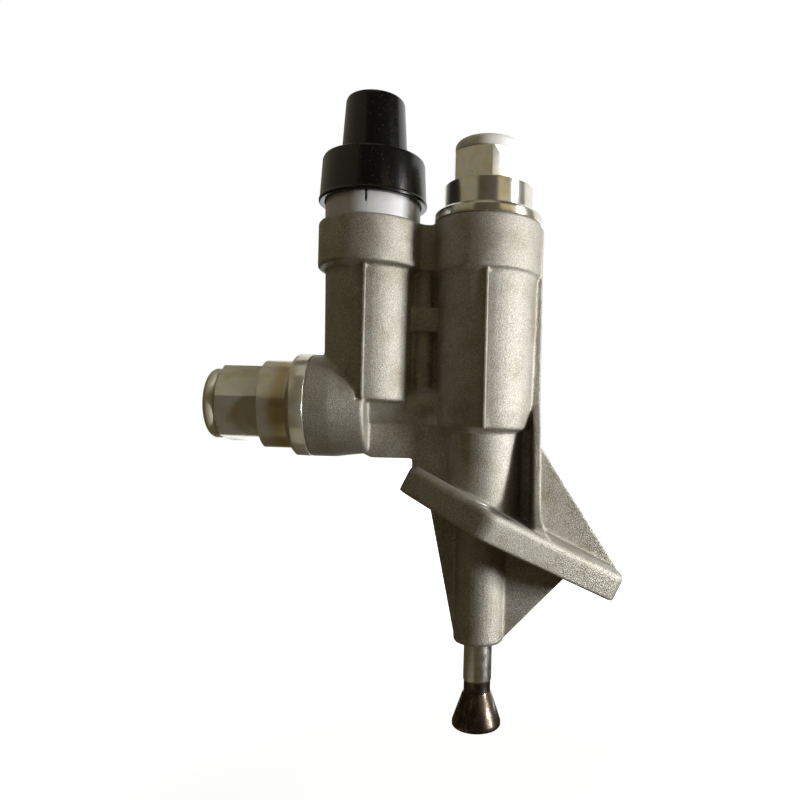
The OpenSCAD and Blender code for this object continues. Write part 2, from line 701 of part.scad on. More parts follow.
// The push rod: a flared foot, a narrow neck, the shank, and the groove of its clip
module push_rod() {
    foot_z = -snout_len - rod_out;
    neck_z = foot_z + foot_rim_h + 0.6 + cone_len;
    color("#c9c8c4") rotate_extrude() polygon([[0, foot_z], [foot_r - 2.4, foot_z + 0.25],
        [foot_r - 0.5, foot_z + 0.7], [foot_r, foot_z + 1.2], [foot_r, foot_z + foot_rim_h + 0.6],
        [rod_neck_r + 0.5, neck_z - 0.6], [rod_neck_r, neck_z], [rod_neck_r, neck_z + neck_len],
        [rod_r, neck_z + neck_len + 0.25], [rod_r, clip_z], [rod_r - 0.6, clip_z],
        [rod_r - 0.6, clip_z + clip_h], [rod_r, clip_z + clip_h],
        [rod_r, rod_top - 0.6], [rod_r - 0.6, rod_top], [0, rod_top]]);
}
module rod_clip() {
    color("#6f6f6c") translate([0, 0, clip_z + seat_clear]) difference() {
        tube(bush_r + 1.2, rod_r - 0.6 + seat_clear, clip_h - 2 * seat_clear);
        translate([0, -1.6, -bite]) cube([20, 3.2, clip_h + 2 * bite]);
    }
}
module spring_seat() {
    color("#9a9a98") translate([0, 0, clip_z + clip_h])
        tube(chamber_r - 0.3, rod_r + run_clear, spring_seat_h);
}
module rod_spring() {
    from = clip_z + clip_h + spring_seat_h + soft_clear;
    color("#9a9a98") translate([0, 0, from])
        coil((chamber_r - seat_ledge + rod_r) / 2, 0.6, 7, chamber_roof - soft_clear - from);
}

// The pump piston: a ring groove outside, and a cup above that holds the transfer valve
module pump_piston() {
    holes = 6;
    color("#b9b7ad") translate([0, 0, piston_z]) difference() {
        ringed_piston(pump_bore_r, piston_h, piston_groove_z);
        translate([0, 0, piston_h - piston_cup_h]) cylinder(r = piston_cup_r, h = piston_cup_h + bite);
        for (i = [0:holes - 1]) rotate([0, 0, 360 * i / holes]) translate([rod_r + 1.6, 0, -bite])
            cylinder(r = 1.1, h = piston_h);
    }
}
module piston_ring() {
    color("#1c1c1c") translate([0, 0, piston_z + piston_groove_z]) piston_seal(pump_bore_r);
}
module transfer_disc() {
    color("#3a3a38") translate([0, 0, piston_z + piston_h - piston_cup_h + soft_clear])
        cylinder(r = piston_cup_r - 0.4, h = transfer_disc_h);
}
module transfer_cage() {
    from = piston_z + piston_h - piston_cup_h + transfer_disc_h + transfer_lift + 2 * soft_clear;
    color("#a9a9a2") translate([0, 0, from]) tube(piston_cup_r - seat_clear, piston_cup_r - 2, 1.6);
}
module pump_spring() {
    from = piston_z + piston_h + soft_clear;
    color("#9a9a98") translate([0, 0, from])
        coil(pump_bore_r - 1.5, 0.75, 6, barrel_top - spigot_len - soft_clear - from);
}

housing();
gallery_plug();
rod_bush();
rod_seal();
outlet_seal();
outlet_fitting();
outlet_valve_seat();
outlet_valve_disc();
outlet_valve_spring();
outlet_cap();
inlet_seal();
inlet_fitting();
inlet_valve_seat();
inlet_valve_disc();
inlet_valve_spring();
inlet_valve_cage();
inlet_cap();
guide_seal();
primer_guide();
primer_button();
primer_stem();
primer_piston();
primer_ring();
primer_spring();
push_rod();
rod_clip();
spring_seat();
rod_spring();
pump_piston();
piston_ring();
transfer_disc();
transfer_cage();
pump_spring();
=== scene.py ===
import json
import math

import bpy
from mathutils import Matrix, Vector

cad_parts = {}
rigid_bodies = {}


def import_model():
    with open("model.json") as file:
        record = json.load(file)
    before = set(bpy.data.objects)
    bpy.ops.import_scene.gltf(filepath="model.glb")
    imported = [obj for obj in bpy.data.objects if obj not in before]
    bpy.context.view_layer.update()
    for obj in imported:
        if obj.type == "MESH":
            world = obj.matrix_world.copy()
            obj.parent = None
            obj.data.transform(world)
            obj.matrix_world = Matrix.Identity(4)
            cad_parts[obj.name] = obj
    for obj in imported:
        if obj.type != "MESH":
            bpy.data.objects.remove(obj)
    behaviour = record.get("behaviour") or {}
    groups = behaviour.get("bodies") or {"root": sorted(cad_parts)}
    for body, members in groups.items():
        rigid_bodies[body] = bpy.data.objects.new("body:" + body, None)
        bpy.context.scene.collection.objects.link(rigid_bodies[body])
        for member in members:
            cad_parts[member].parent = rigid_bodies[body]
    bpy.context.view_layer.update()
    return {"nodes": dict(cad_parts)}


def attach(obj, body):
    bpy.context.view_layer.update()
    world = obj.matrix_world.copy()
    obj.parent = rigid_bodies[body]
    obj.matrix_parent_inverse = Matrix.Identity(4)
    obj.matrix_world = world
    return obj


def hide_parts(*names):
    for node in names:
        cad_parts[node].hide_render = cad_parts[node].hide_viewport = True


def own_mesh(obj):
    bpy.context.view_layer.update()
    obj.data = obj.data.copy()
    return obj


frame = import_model()
mm = 0.001
scene = bpy.context.scene
print("frame loaded:", len(frame["nodes"]), "nodes")


# Shared steps for places and shader nodes

def metres(values):
    return [v * mm for v in values]


def radians(angles):
    return [math.radians(a) for a in angles]


def onlySelect(thing):
    bpy.ops.object.select_all(action="DESELECT")
    thing.select_set(True)
    bpy.context.view_layer.objects.active = thing


def feed(tree, socket, value):
    # what goes into a socket: another node's output, a number or a colour
    if isinstance(value, bpy.types.NodeSocket):
        tree.links.new(value, socket)
    elif isinstance(value, (int, float)):
        socket.default_value = value
    else:
        socket.default_value = (*value, 1)


def mathOf(tree, how, *values):
    node = tree.nodes.new("ShaderNodeMath")
    node.operation = how
    for socket, value in zip(node.inputs, values):
        feed(tree, socket, value)
    return node.outputs[0]


def mapRange(tree, value, limits, how="LINEAR"):
    node = tree.nodes.new("ShaderNodeMapRange")
    node.interpolation_type = how
    for socketName, limit in limits.items():
        node.inputs[socketName].default_value = limit
    tree.links.new(value, node.inputs["Value"])
    return node.outputs[0]


def plainShader(tree, kind, colour, strength=None):
    node = tree.nodes.new(kind)
    node.inputs["Color"].default_value = (*colour, 1)
    if strength is not None:
        node.inputs["Strength"].default_value = strength
    return node.outputs[0]


def mixShaders(tree, share, first, second, output):
    mix = tree.nodes.new("ShaderNodeMixShader")
    for socket, source in zip(mix.inputs, (share, first, second)):
        tree.links.new(source, socket)
    tree.links.new(mix.outputs[0], output.inputs["Surface"])


# Camera, floor and lights

cameraView = {
    "focalPx": 700, "picturePx": 800,
    "axisPx": (478, 430),           # where the lens axis meets the picture
    "place": (-1.63, -224, 31.4),
    "roll": 1.4,
    "sensor": 36,
    "clip": (0.01, 20),             # in metres
}
studio = {
    "floorZ": -110,
    "floorSize": 6000,
    "white": 1.0,
    "ambient": 0.33,
    "ambientTint": (1.0, 0.95, 0.85),
    "floorMatt": (0.27, 0.265, 0.26),
    # near the pump part of the matt floor shows, and with it a faint shadow; distances in metres
    "nearFloor": {"From Min": 0.10, "From Max": 0.45, "To Min": 0.5, "To Max": 1.0},
    "floorGlow": 1.9,
    # a low key at the right and the window above it: place, sides and power
    "lampTarget": (0, 0, 30),
    "lamps": {
        "keyLamp": ((560, -205, -15), (80, 130), 3.6),
        "windowLamp": ((575, -180, 330), (90, 300), 1.5),
    },
    # glowing cards that stand for the room: place, turn, sides and colour
    "cards": {
        "leftLow": ((-290, 60, -125), (0, 90, 0), (550, 1100), (0.060, 0.045, 0.022)),
        "leftHigh": ((-290, 60, 400), (0, 90, 0), (500, 1100), (0.28, 0.25, 0.18)),
        "front": ((-220, -560, -95), (90, 0, 0), (940, 510), (0.045, 0.036, 0.020)),
        "frontHigh": ((-220, -560, 410), (90, 0, 0), (940, 500), (0.055, 0.045, 0.026)),
        "frontRight": ((540, -560, -95), (90, 0, 0), (580, 510), (0.020, 0.016, 0.010)),
        "frontRightHigh": ((540, -560, 410), (90, 0, 0), (580, 500), (0.60, 0.50, 0.30)),
        "top": ((70, -130, 650), (0, 0, 0), (1520, 860), (0.050, 0.045, 0.035)),
        "ceiling": ((-70, -110, 646), (0, 0, 0), (320, 340), (0.42, 0.39, 0.31)),
        "rightWall": ((830, -130, 155), (0, 90, 0), (1010, 860), (0.10, 0.09, 0.07)),
        "windowPane": ((826, -365, 420), (0, 90, 0), (300, 300), (0.86, 0.84, 0.78)),
        "floorFront": ((-80, -155, -106), (0, 0, 0), (420, 910), (0.075, 0.060, 0.034)),
        "floorSpot": ((-85, -60, -105), (0, 0, 0), (70, 120), (0.26, 0.24, 0.17)),
        "floorRight": ((480, -155, -106), (0, 0, 0), (700, 910), (0.020, 0.016, 0.010)),
    },
}


def addCamera(view):
    wide = view["picturePx"]
    data = bpy.data.cameras.new("pumpCamera")
    data.sensor_width = view["sensor"]
    data.lens = view["focalPx"] * view["sensor"] / wide
    data.shift_x = (wide / 2 - view["axisPx"][0]) / wide
    data.shift_y = (view["axisPx"][1] - wide / 2) / wide
    data.clip_start, data.clip_end = view["clip"]
    camera = bpy.data.objects.new("pumpCamera", data)
    camera.location = metres(view["place"])
    camera.rotation_euler = (math.radians(90), math.radians(-view["roll"]), 0)
    scene.collection.objects.link(camera)
    scene.camera = camera


def addLamp(name, place, sides, power, target):
    data = bpy.data.lights.new(name, "AREA")
    data.shape = "RECTANGLE"
    data.size, data.size_y = metres(sides)
    data.energy = power
    lamp = bpy.data.objects.new(name, data)
    lamp.location = metres(place)
    aim = Vector(target) - Vector(place)
    lamp.rotation_euler = aim.to_track_quat("-Z", "Y").to_euler()
    scene.collection.objects.link(lamp)


def seenRays(tree):
    # 1 for the rays that show the background: camera, glossy and see-through ones
    path = tree.nodes.new("ShaderNodeLightPath")
    first = mathOf(tree, "MAXIMUM", path.outputs["Is Camera Ray"], path.outputs["Is Glossy Ray"])
    return mathOf(tree, "MAXIMUM", first, path.outputs["Is Transmission Ray"])


def addWorld(setup):
    world = bpy.data.worlds.new("studioWorld")
    scene.world = world
    world.use_nodes = True
    tree = world.node_tree
    tree.nodes.clear()
    output = tree.nodes.new("ShaderNodeOutputWorld")
    plain = plainShader(tree, "ShaderNodeBackground", setup["ambientTint"], setup["ambient"])
    white = plainShader(tree, "ShaderNodeBackground", (1, 1, 1), setup["white"])
    mixShaders(tree, seenRays(tree), plain, white, output)


def emptyMaterial(name):
    material = bpy.data.materials.new(name)
    material.use_nodes = True
    tree = material.node_tree
    tree.nodes.clear()
    return material, tree, tree.nodes.new("ShaderNodeOutputMaterial")


def addFloor(setup):
    bpy.ops.mesh.primitive_plane_add(size=setup["floorSize"] * mm, location=(0, 0, setup["floorZ"] * mm))
    floor = bpy.context.active_object
    floor.name = "studioFloor"
    paint, tree, output = emptyMaterial("floorWhite")
    matt = plainShader(tree, "ShaderNodeBsdfDiffuse", setup["floorMatt"])
    glow = plainShader(tree, "ShaderNodeEmission", (1, 1, 1), setup["floorGlow"])
    coords = tree.nodes.new("ShaderNodeTexCoord")
    far = tree.nodes.new("ShaderNodeVectorMath")
    far.operation = "LENGTH"
    tree.links.new(coords.outputs["Object"], far.inputs[0])
    share = mapRange(tree, far.outputs["Value"], setup["nearFloor"], "SMOOTHSTEP")
    mixShaders(tree, mathOf(tree, "MULTIPLY", seenRays(tree), share), matt, glow, output)
    floor.data.materials.append(paint)


def addCard(name, place, turn, sides, colour):
    paint, tree, output = emptyMaterial(name + "Glow")
    tree.links.new(plainShader(tree, "ShaderNodeEmission", colour), output.inputs["Surface"])
    bpy.ops.mesh.primitive_plane_add(size=1, location=metres(place), rotation=radians(turn))
    card = bpy.context.active_object
    card.name = name + "Card"
    card.scale = (sides[0] * mm, sides[1] * mm, 1)
    card.visible_camera = False
    card.visible_shadow = False
    card.data.materials.append(paint)


addCamera(cameraView)
scene.view_settings.view_transform = "Standard"
addWorld(studio)
addFloor(studio)
for cardName, cardMake in studio["cards"].items():
    addCard(cardName, *cardMake)
for lampName, lampMake in studio["lamps"].items():
    addLamp(lampName, *lampMake, studio["lampTarget"])
print("camera, floor and lamps placed")


# Materials

def newMaterial(name):
    material = bpy.data.materials.new(name)
    material.use_nodes = True
    tree = material.node_tree
    shader = tree.nodes["Principled BSDF"]
    coords = tree.nodes.new("ShaderNodeTexCoord")
    return material, tree, shader, coords.outputs["Object"]


def noiseOn(tree, coords, perMm, detail=3, stretch=(1, 1, 1), roughness=0.5):
    mapping = tree.nodes.new("ShaderNodeMapping")
    mapping.inputs["Scale"].default_value = [s / mm for s in stretch]
    tree.links.new(coords, mapping.inputs["Vector"])
    noise = tree.nodes.new("ShaderNodeTexNoise")
    noise.inputs["Scale"].default_value = perMm
    noise.inputs["Detail"].default_value = detail
    noise.inputs["Roughness"].default_value = roughness
    tree.links.new(mapping.outputs["Vector"], noise.inputs["Vector"])
    return noise.outputs["Fac"]


def axisOf(tree, coords, axis):
    split = tree.nodes.new("ShaderNodeSeparateXYZ")
    tree.links.new(coords, split.inputs[0])
    return split.outputs[axis]


def rampOf(tree, value, stops):
    ramp = tree.nodes.new("ShaderNodeValToRGB")
    points = ramp.color_ramp.elements
    while len(points) < len(stops):
        points.new(0.5)
    for point, (place, colour) in zip(points, stops):
        point.position = place
        point.color = (*colour, 1)
    tree.links.new(value, ramp.inputs["Fac"])
    return ramp.outputs["Color"]


def colourFrom(tree, shader, value, *stops):
    tree.links.new(rampOf(tree, value, stops), shader.inputs["Base Color"])


def roughFrom(tree, shader, value, *stops):
    # each stop is a value of the noise and the roughness there
    greys = [(place, (rough, rough, rough)) for place, rough in stops]
    tree.links.new(rampOf(tree, value, greys), shader.inputs["Roughness"])


def mixColours(tree, share, first, second, how="MIX"):
    mix = tree.nodes.new("ShaderNodeMix")
    mix.data_type = "RGBA"
    mix.blend_type = how
    # sockets 0, 6 and 7 are the share and the two colours, and output 2 is the mixed colour
    for socket, value in ((mix.inputs[0], share), (mix.inputs[6], first), (mix.inputs[7], second)):
        feed(tree, socket, value)
    return mix.outputs[2]


def bumpInto(tree, shader, height, deep):
    bump = tree.nodes.new("ShaderNodeBump")
    bump.inputs["Strength"].default_value = 1
    bump.inputs["Distance"].default_value = deep * mm
    tree.links.new(height, bump.inputs["Height"])
    tree.links.new(bump.outputs["Normal"], shader.inputs["Normal"])


castLook = {
    "dark": (0.34, 0.325, 0.285), "middle": (0.45, 0.435, 0.385), "pale": (0.58, 0.565, 0.51),
    "stain": [(0.3, (0.80, 0.77, 0.70)), (0.55, (1.0, 1.0, 1.0)), (0.75, (1.0, 0.99, 0.96))],
    "metal": 0.92, "rough": (0.64, 0.52), "grainPerMm": 3.0, "grainDeep": 0.17, "skinPerMm": 0.12,
}


def castAluminium(make):
    material, tree, shader, coords = newMaterial("castAluminium")
    grain = noiseOn(tree, coords, make["grainPerMm"], 4, roughness=0.65)
    skin = noiseOn(tree, coords, make["skinPerMm"], 5)
    speckle = rampOf(tree, grain, [(0.38, make["dark"]), (0.5, make["middle"]), (0.62, make["pale"])])
    stain = rampOf(tree, skin, make["stain"])
    tree.links.new(mixColours(tree, 1.0, speckle, stain, "MULTIPLY"), shader.inputs["Base Color"])
    shader.inputs["Metallic"].default_value = make["metal"]
    roughFrom(tree, shader, grain, (0.3, make["rough"][0]), (0.7, make["rough"][1]))
    bumpInto(tree, shader, grain, make["grainDeep"])
    return material


milledLook = {
    "dark": (0.56, 0.55, 0.52), "pale": (0.74, 0.73, 0.71), "metal": 0.9, "rough": 0.34,
    "linesPerMm": 1.6, "stretch": (0.3, 3.0, 0.3), "lineDeep": 0.02,
}


def milledAluminium(make):
    material, tree, shader, coords = newMaterial("milledAluminium")
    lines = noiseOn(tree, coords, make["linesPerMm"], 2, make["stretch"])
    colourFrom(tree, shader, lines, (0.3, make["dark"]), (0.7, make["pale"]))
    shader.inputs["Metallic"].default_value = make["metal"]
    shader.inputs["Roughness"].default_value = make["rough"]
    bumpInto(tree, shader, lines, make["lineDeep"])
    return material


zincLook = {
    "pale": (0.80, 0.77, 0.67), "deep": (0.62, 0.56, 0.40), "blue": (0.70, 0.71, 0.69),
    "linesAlong": 6.0, "linesRound": 0.05, "lineDeep": 0.003, "cloudPerMm": 0.22,
    "roughSpread": 0.02, "lengthwise": 0.6,
    # a golden band in the plating of the inlet fitting: its X, half its width, colour and share
    "goldAt": -62, "goldReach": 4.5, "gold": (0.62, 0.47, 0.22), "goldShare": 0.75,
}


def goldBand(tree, coords, base, make):
    away = mathOf(tree, "SUBTRACT", axisOf(tree, coords, 0), make["goldAt"] * mm)
    limits = {"From Max": make["goldReach"] * mm, "To Min": make["goldShare"], "To Max": 0}
    share = mapRange(tree, mathOf(tree, "ABSOLUTE", away), limits, "SMOOTHSTEP")
    return mixColours(tree, share, base, make["gold"])


def turnedZinc(name, make, axis, rough, metal, tint):
    # plated steel with fine turning lines round the given axis, which spread its shine along the axis
    material, tree, shader, coords = newMaterial(name)
    stretch = [make["linesAlong"] if k == axis else make["linesRound"] for k in range(3)]
    lines = noiseOn(tree, coords, 1.0, 2, stretch)
    cloud = noiseOn(tree, coords, make["cloudPerMm"], 3)
    deep = tuple(p + (d - p) * tint for p, d in zip(make["pale"], make["deep"]))
    base = rampOf(tree, cloud, [(0.32, deep), (0.5, make["pale"]), (0.68, make["blue"])])
    if axis == 0:
        base = goldBand(tree, coords, base, make)
    tree.links.new(base, shader.inputs["Base Color"])
    shader.inputs["Metallic"].default_value = metal
    spread = make["roughSpread"]
    roughFrom(tree, shader, lines, (0.35, rough - spread), (0.65, rough + spread))
    shader.inputs["Anisotropic"].default_value = make["lengthwise"]
    along = tree.nodes.new("ShaderNodeCombineXYZ")
    along.inputs[axis].default_value = 1
    tree.links.new(along.outputs[0], shader.inputs["Tangent"])
    bumpInto(tree, shader, lines, make["lineDeep"])
    return material


blackLook = {
    "base": (0.003, 0.003, 0.003), "fleck": (0.12, 0.11, 0.10), "rough": (0.20, 0.28), "specular": 0.45,
    "scuffPerMm": 0.9, "scuffDeep": 0.01, "fleckPerMm": 2.4,
}


def blackPlastic(make):
    material, tree, shader, coords = newMaterial("blackPlastic")
    scuff = noiseOn(tree, coords, make["scuffPerMm"], 6, (1, 1, 0.35), 0.7)
    fleck = noiseOn(tree, coords, make["fleckPerMm"], 2)
    colourFrom(tree, shader, fleck, (0.69, make["base"]), (0.74, make["fleck"]))
    roughFrom(tree, shader, scuff, (0.35, make["rough"][0]), (0.65, make["rough"][1]))
    shader.inputs["Specular IOR Level"].default_value = make["specular"]
    bumpInto(tree, shader, scuff, make["scuffDeep"])
    return material


milkyLook = {
    "cloudPerMm": 0.25, "finePerMm": 1.2, "fineDeep": 0.02,
    "glow": 0.2, "reach": (0.003, 0.003, 0.002), "reachScale": 0.5,       # light that spreads under the skin
}


def milkyPlastic(name, pale, shade, rough, make=milkyLook):
    material, tree, shader, coords = newMaterial(name)
    cloud = noiseOn(tree, coords, make["cloudPerMm"], 4)
    colourFrom(tree, shader, cloud, (0.3, shade), (0.6, pale))
    shader.inputs["Roughness"].default_value = rough
    shader.inputs["Subsurface Weight"].default_value = make["glow"]
    shader.inputs["Subsurface Radius"].default_value = make["reach"]
    shader.inputs["Subsurface Scale"].default_value = make["reachScale"]
    bumpInto(tree, shader, noiseOn(tree, coords, make["finePerMm"], 3), make["fineDeep"])
    return material


rodLook = {
    "burntFrom": -48.2, "fade": (-0.25, 0.15), "rough": (0.36, 0.22), "lineDeep": 0.008,
    "shade": (0.62, 0.60, 0.57), "pale": (0.78, 0.77, 0.75),
    "burnt": [(0.38, (0.06, 0.048, 0.038)), (0.55, (0.15, 0.115, 0.09)), (0.68, (0.34, 0.30, 0.27))],
}


def groundSteel(make):
    # bright above, heat-tinted brown black at the foot, worn through on its rim
    material, tree, shader, coords = newMaterial("groundSteel")
    limits = {"From Min": (make["burntFrom"] + make["fade"][0]) * mm,
              "From Max": (make["burntFrom"] + make["fade"][1]) * mm}
    height = mapRange(tree, axisOf(tree, coords, 2), limits)
    lines = noiseOn(tree, coords, 1.0, 2, (0.05, 0.05, 7.0))
    wear = noiseOn(tree, coords, 0.7, 6, (1, 1, 0.4), 0.7)
    bright = rampOf(tree, lines, [(0.3, make["shade"]), (0.7, make["pale"])])
    burnt = rampOf(tree, wear, make["burnt"])
    tree.links.new(mixColours(tree, height, burnt, bright), shader.inputs["Base Color"])
    shader.inputs["Metallic"].default_value = 1
    roughFrom(tree, shader, wear, (0.35, make["rough"][0]), (0.65, make["rough"][1]))
    bumpInto(tree, shader, lines, make["lineDeep"])
    return material


cloudLook = {"perMm": 0.8, "rougher": 0.08, "smoother": 0.06, "deep": 0.01}


def plainSurface(name, pale, shade, rough, metal=1.0, make=cloudLook):
    material, tree, shader, coords = newMaterial(name)
    cloud = noiseOn(tree, coords, make["perMm"], 4)
    colourFrom(tree, shader, cloud, (0.35, shade), (0.65, pale))
    shader.inputs["Metallic"].default_value = metal
    roughFrom(tree, shader, cloud, (0.3, rough + make["rougher"]), (0.7, rough - make["smoother"]))
    bumpInto(tree, shader, cloud, make["deep"])
    return material


look = {
    "cast": castAluminium(castLook),
    "milled": milledAluminium(milledLook),
    "zincUp": turnedZinc("zincPlateUp", zincLook, axis=2, rough=0.24, metal=0.92, tint=0.5),
    "zincAcross": turnedZinc("zincPlateAcross", zincLook, axis=0, rough=0.24, metal=0.75, tint=0.7),
    "black": blackPlastic(blackLook),
    "nylon": milkyPlastic("whiteNylon", (0.72, 0.73, 0.74), (0.64, 0.64, 0.65), 0.38),
    "cap": milkyPlastic("capPlastic", (0.90, 0.90, 0.87), (0.85, 0.84, 0.78), 0.42),
    "capOld": milkyPlastic("capPlasticYellowed", (0.86, 0.84, 0.68), (0.78, 0.75, 0.57), 0.36),
    "rod": groundSteel(rodLook),
    "spring": plainSurface("springWire", (0.50, 0.50, 0.50), (0.34, 0.34, 0.33), 0.32),
    "steel": plainSurface("valveSteel", (0.62, 0.62, 0.60), (0.50, 0.50, 0.48), 0.30),
    "piston": plainSurface("pistonAluminium", (0.74, 0.74, 0.73), (0.64, 0.64, 0.63), 0.28),
    "bronze": plainSurface("bushBronze", (0.60, 0.43, 0.20), (0.44, 0.30, 0.13), 0.42),
    "rubber": plainSurface("sealRubber", (0.03, 0.03, 0.03), (0.016, 0.016, 0.016), 0.55, metal=0.0),
    "polymer": plainSurface("discPolymer", (0.06, 0.06, 0.058), (0.04, 0.04, 0.04), 0.5, metal=0.0),
}
# small inner solids keep their own mesh and only get a material
nodeLooks = {
    "gallery_plug": "steel", "rod_bush": "bronze", "rod_seal": "rubber", "outlet_seal": "rubber",
    "outlet_valve_seat": "steel", "outlet_valve_disc": "polymer", "inlet_seal": "rubber",
    "inlet_valve_seat": "steel", "inlet_valve_disc": "polymer", "inlet_valve_cage": "steel",
    "guide_seal": "rubber", "primer_stem": "steel", "primer_piston": "piston", "primer_ring": "rubber",
    "rod_clip": "spring", "spring_seat": "steel", "pump_piston": "piston", "piston_ring": "rubber",
    "transfer_disc": "polymer", "transfer_cage": "steel",
}


def dress(thing, *materials):
    thing.data.materials.clear()
    for material in materials:
        thing.data.materials.append(material)


for nodeName, lookName in nodeLooks.items():
    dress(frame["nodes"][nodeName], look[lookName])
print("materials made")


# Shared making steps

fineSides, plainSides, smallSides = 128, 96, 48       # straight edges in a turned circle
over = 1                                              # how far a cutter reaches past what it cuts
weldNear = 0.001                                      # points this near to each other become one


def copyOfNode(nodeName, pieceName):
    # a merged copy of a solid of the frame, to be shaped on
    piece = bpy.data.objects.new(pieceName, frame["nodes"][nodeName].data.copy())
    scene.collection.objects.link(piece)
    onlySelect(piece)
    bpy.ops.object.mode_set(mode="EDIT")
    bpy.ops.mesh.select_all(action="SELECT")
    bpy.ops.mesh.remove_doubles(threshold=weldNear * mm)
    bpy.ops.object.mode_set(mode="OBJECT")
    return piece


def applyAll(piece):
    onlySelect(piece)
    for modifier in list(piece.modifiers):
        bpy.ops.object.modifier_apply(modifier=modifier.name)


def bevelEdges(piece, wide, segments=3, angle=28):
    bevel = piece.modifiers.new("edges", "BEVEL")
    bevel.width = wide * mm
    bevel.segments = segments
    bevel.limit_method = "ANGLE"
    bevel.angle_limit = math.radians(angle)
    applyAll(piece)


def smoothShade(piece, angle=35):
    onlySelect(piece)
    bpy.ops.object.shade_smooth_by_angle(angle=math.radians(angle))


def turnUp(name, rings, sides=plainSides):
    # a turned piece on the Z axis: a circle drawn up ring by ring, with both ends filled
    bpy.ops.object.select_all(action="DESELECT")
    bpy.ops.mesh.primitive_circle_add(vertices=sides, radius=rings[0][0] * mm, fill_type="NGON",
                                      location=(0, 0, 0))
    piece = bpy.context.active_object
    piece.name = name
    bpy.ops.object.mode_set(mode="EDIT")
    bpy.ops.mesh.select_all(action="SELECT")
    bpy.ops.transform.translate(value=(0, 0, rings[0][1] * mm))
    for (r0, z0), (r1, z1) in zip(rings, rings[1:]):
        bpy.ops.mesh.extrude_region_move(TRANSFORM_OT_translate={"value": (0, 0, (z1 - z0) * mm)})
        if r1 != r0:
            share = r1 / r0
            bpy.ops.transform.resize(value=(share, share, 1), center_override=(0, 0, z1 * mm))
    bpy.ops.mesh.select_all(action="SELECT")
    bpy.ops.mesh.normals_make_consistent(inside=False)
    bpy.ops.object.mode_set(mode="OBJECT")
    return piece


def roundedEdge(r, z, reach, inward, downward):
    # three points that round the upper edge of a turned outline
    return [(r, z - reach), (r - inward, z - downward), (r - reach, z)]


def putAt(piece, place, turn=(0, 0, 0)):
    piece.rotation_euler = radians(turn)
    piece.location = metres(place)
    onlySelect(piece)
    bpy.ops.object.transform_apply(location=True, rotation=True, scale=True)


def combine(piece, other, how):
    boolean = piece.modifiers.new(how.lower(), "BOOLEAN")
    boolean.operation = how
    boolean.solver = "EXACT"
    boolean.object = other
    applyAll(piece)
    bpy.data.objects.remove(other)


def finishPiece(piece, body, node):
    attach(piece, body)
    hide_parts(node)


# The casting: all its webs, barrels and bosses run into each other with soft cast corners,
# while its bores, holes and parting ribs stay crisp

primerX = -36.8        # the primer barrel's axis
casting = {
    "voxel": 0.4, "smoothRounds": 4, "smoothShare": 0.5, "smoothAngle": 48,
    "keep": 0.34,                    # the share of the skin's faces that stays
    "slope": 26, "boltAt": 19, "inletFace": -54.1, "inletZ": 38, "galleryX": -18.625,
    # fillings that close the bores before the skin is made: radius, from, to along Z, and the axis's X
    "stops": [(15.2, 40, 96, 0), (13.6, 60, 94.8, primerX), (7.2, -35.4, 34, 0), (3, 89, 94.7, -18.6)],
    "inletStop": (15.2, -53.6, -40),
    "boltStop": (5.5, 0.3, 8.1),
    # turned cutters, as radius and height
    "pumpBore": [(6, -38), (6, 2), (8.3, 2), (8.3, 11.55), (7.5, 11.55), (7.5, 25.4),
                 (4.55, 25.4), (4.55, 29.4), (7.9, 29.4), (7.9, 33.4), (11, 33.4), (11, 84.3),
                 (12.5, 84.3), (12.5, 94.43), (14.52, 94.43), (14.52, 98)],
    "primerBore": [(2, 37), (2, 53.4), (9, 53.4), (9, 83.4),
                   (12.05, 83.4), (12.05, 93.23), (14.07, 93.23), (14.07, 97)],
    "inletBore": [(4, -48.6), (4, -7.3), (12.5, -7.3), (12.5, -2.07), (14.52, -2.07), (14.52, 1.5)],
    "gallery": [(2, 37), (2, 92.3), (2.6, 92.3), (2.6, 97)],
    "boltHole": [(4.5, -2), (4.5, 8.4), (6.1, 8.4), (6.1, 12)],
    # milled faces: how straight they face down or up, and where they lie
    "milled": {"flangeFacing": 0.985, "flangeNear": 0.4, "facing": 0.97, "topFrom": 94.6, "snoutTo": -34.6},
    # parting ribs: the barrel's radius, X, foot and top
    "ribs": [(16, 0, 32, 80.2), (14.5, primerX, 40, 81.2)],
    "ribBar": {"wide": 1.8, "crest": 0.8, "proud": 0.7, "root": 2.6, "bevel": 0.14},
    # the bar that shaves the solid's own ribs off the barrels' outlines; it starts below their foot
    # and ends short of the collars
    "shaveBar": {"wide": 3.4, "crest": 3.4, "proud": 2.0, "root": 2.2, "below": 0.7, "short": 1.7},
    "barrelSkin": {0: [(14.66, 31), (15.35, 37.1), (15.64, 41.6), (16.04, 82)],
                   primerX: [(14.14, 39), (14.14, 49.6), (14.54, 83)]},
}


def stopUp(body, r, low, high, place=(0, 0, 0), turn=(0, 0, 0)):
    bpy.ops.mesh.primitive_cylinder_add(vertices=smallSides, radius=r * mm, depth=(high - low) * mm)
    stop = bpy.context.active_object
    putAt(stop, (0, 0, (high + low) / 2))
    putAt(stop, place, turn)
    onlySelect(body)
    stop.select_set(True)
    bpy.ops.object.join()


def cutter(rings, place=(0, 0, 0), turn=(0, 0, 0), sides=plainSides):
    # a turned cutter that leaves milled faces
    tool = turnUp("cutter", rings, sides)
    putAt(tool, place, turn)
    dress(tool, look["cast"], look["milled"])
    for face in tool.data.polygons:
        face.material_index = 1
    return tool


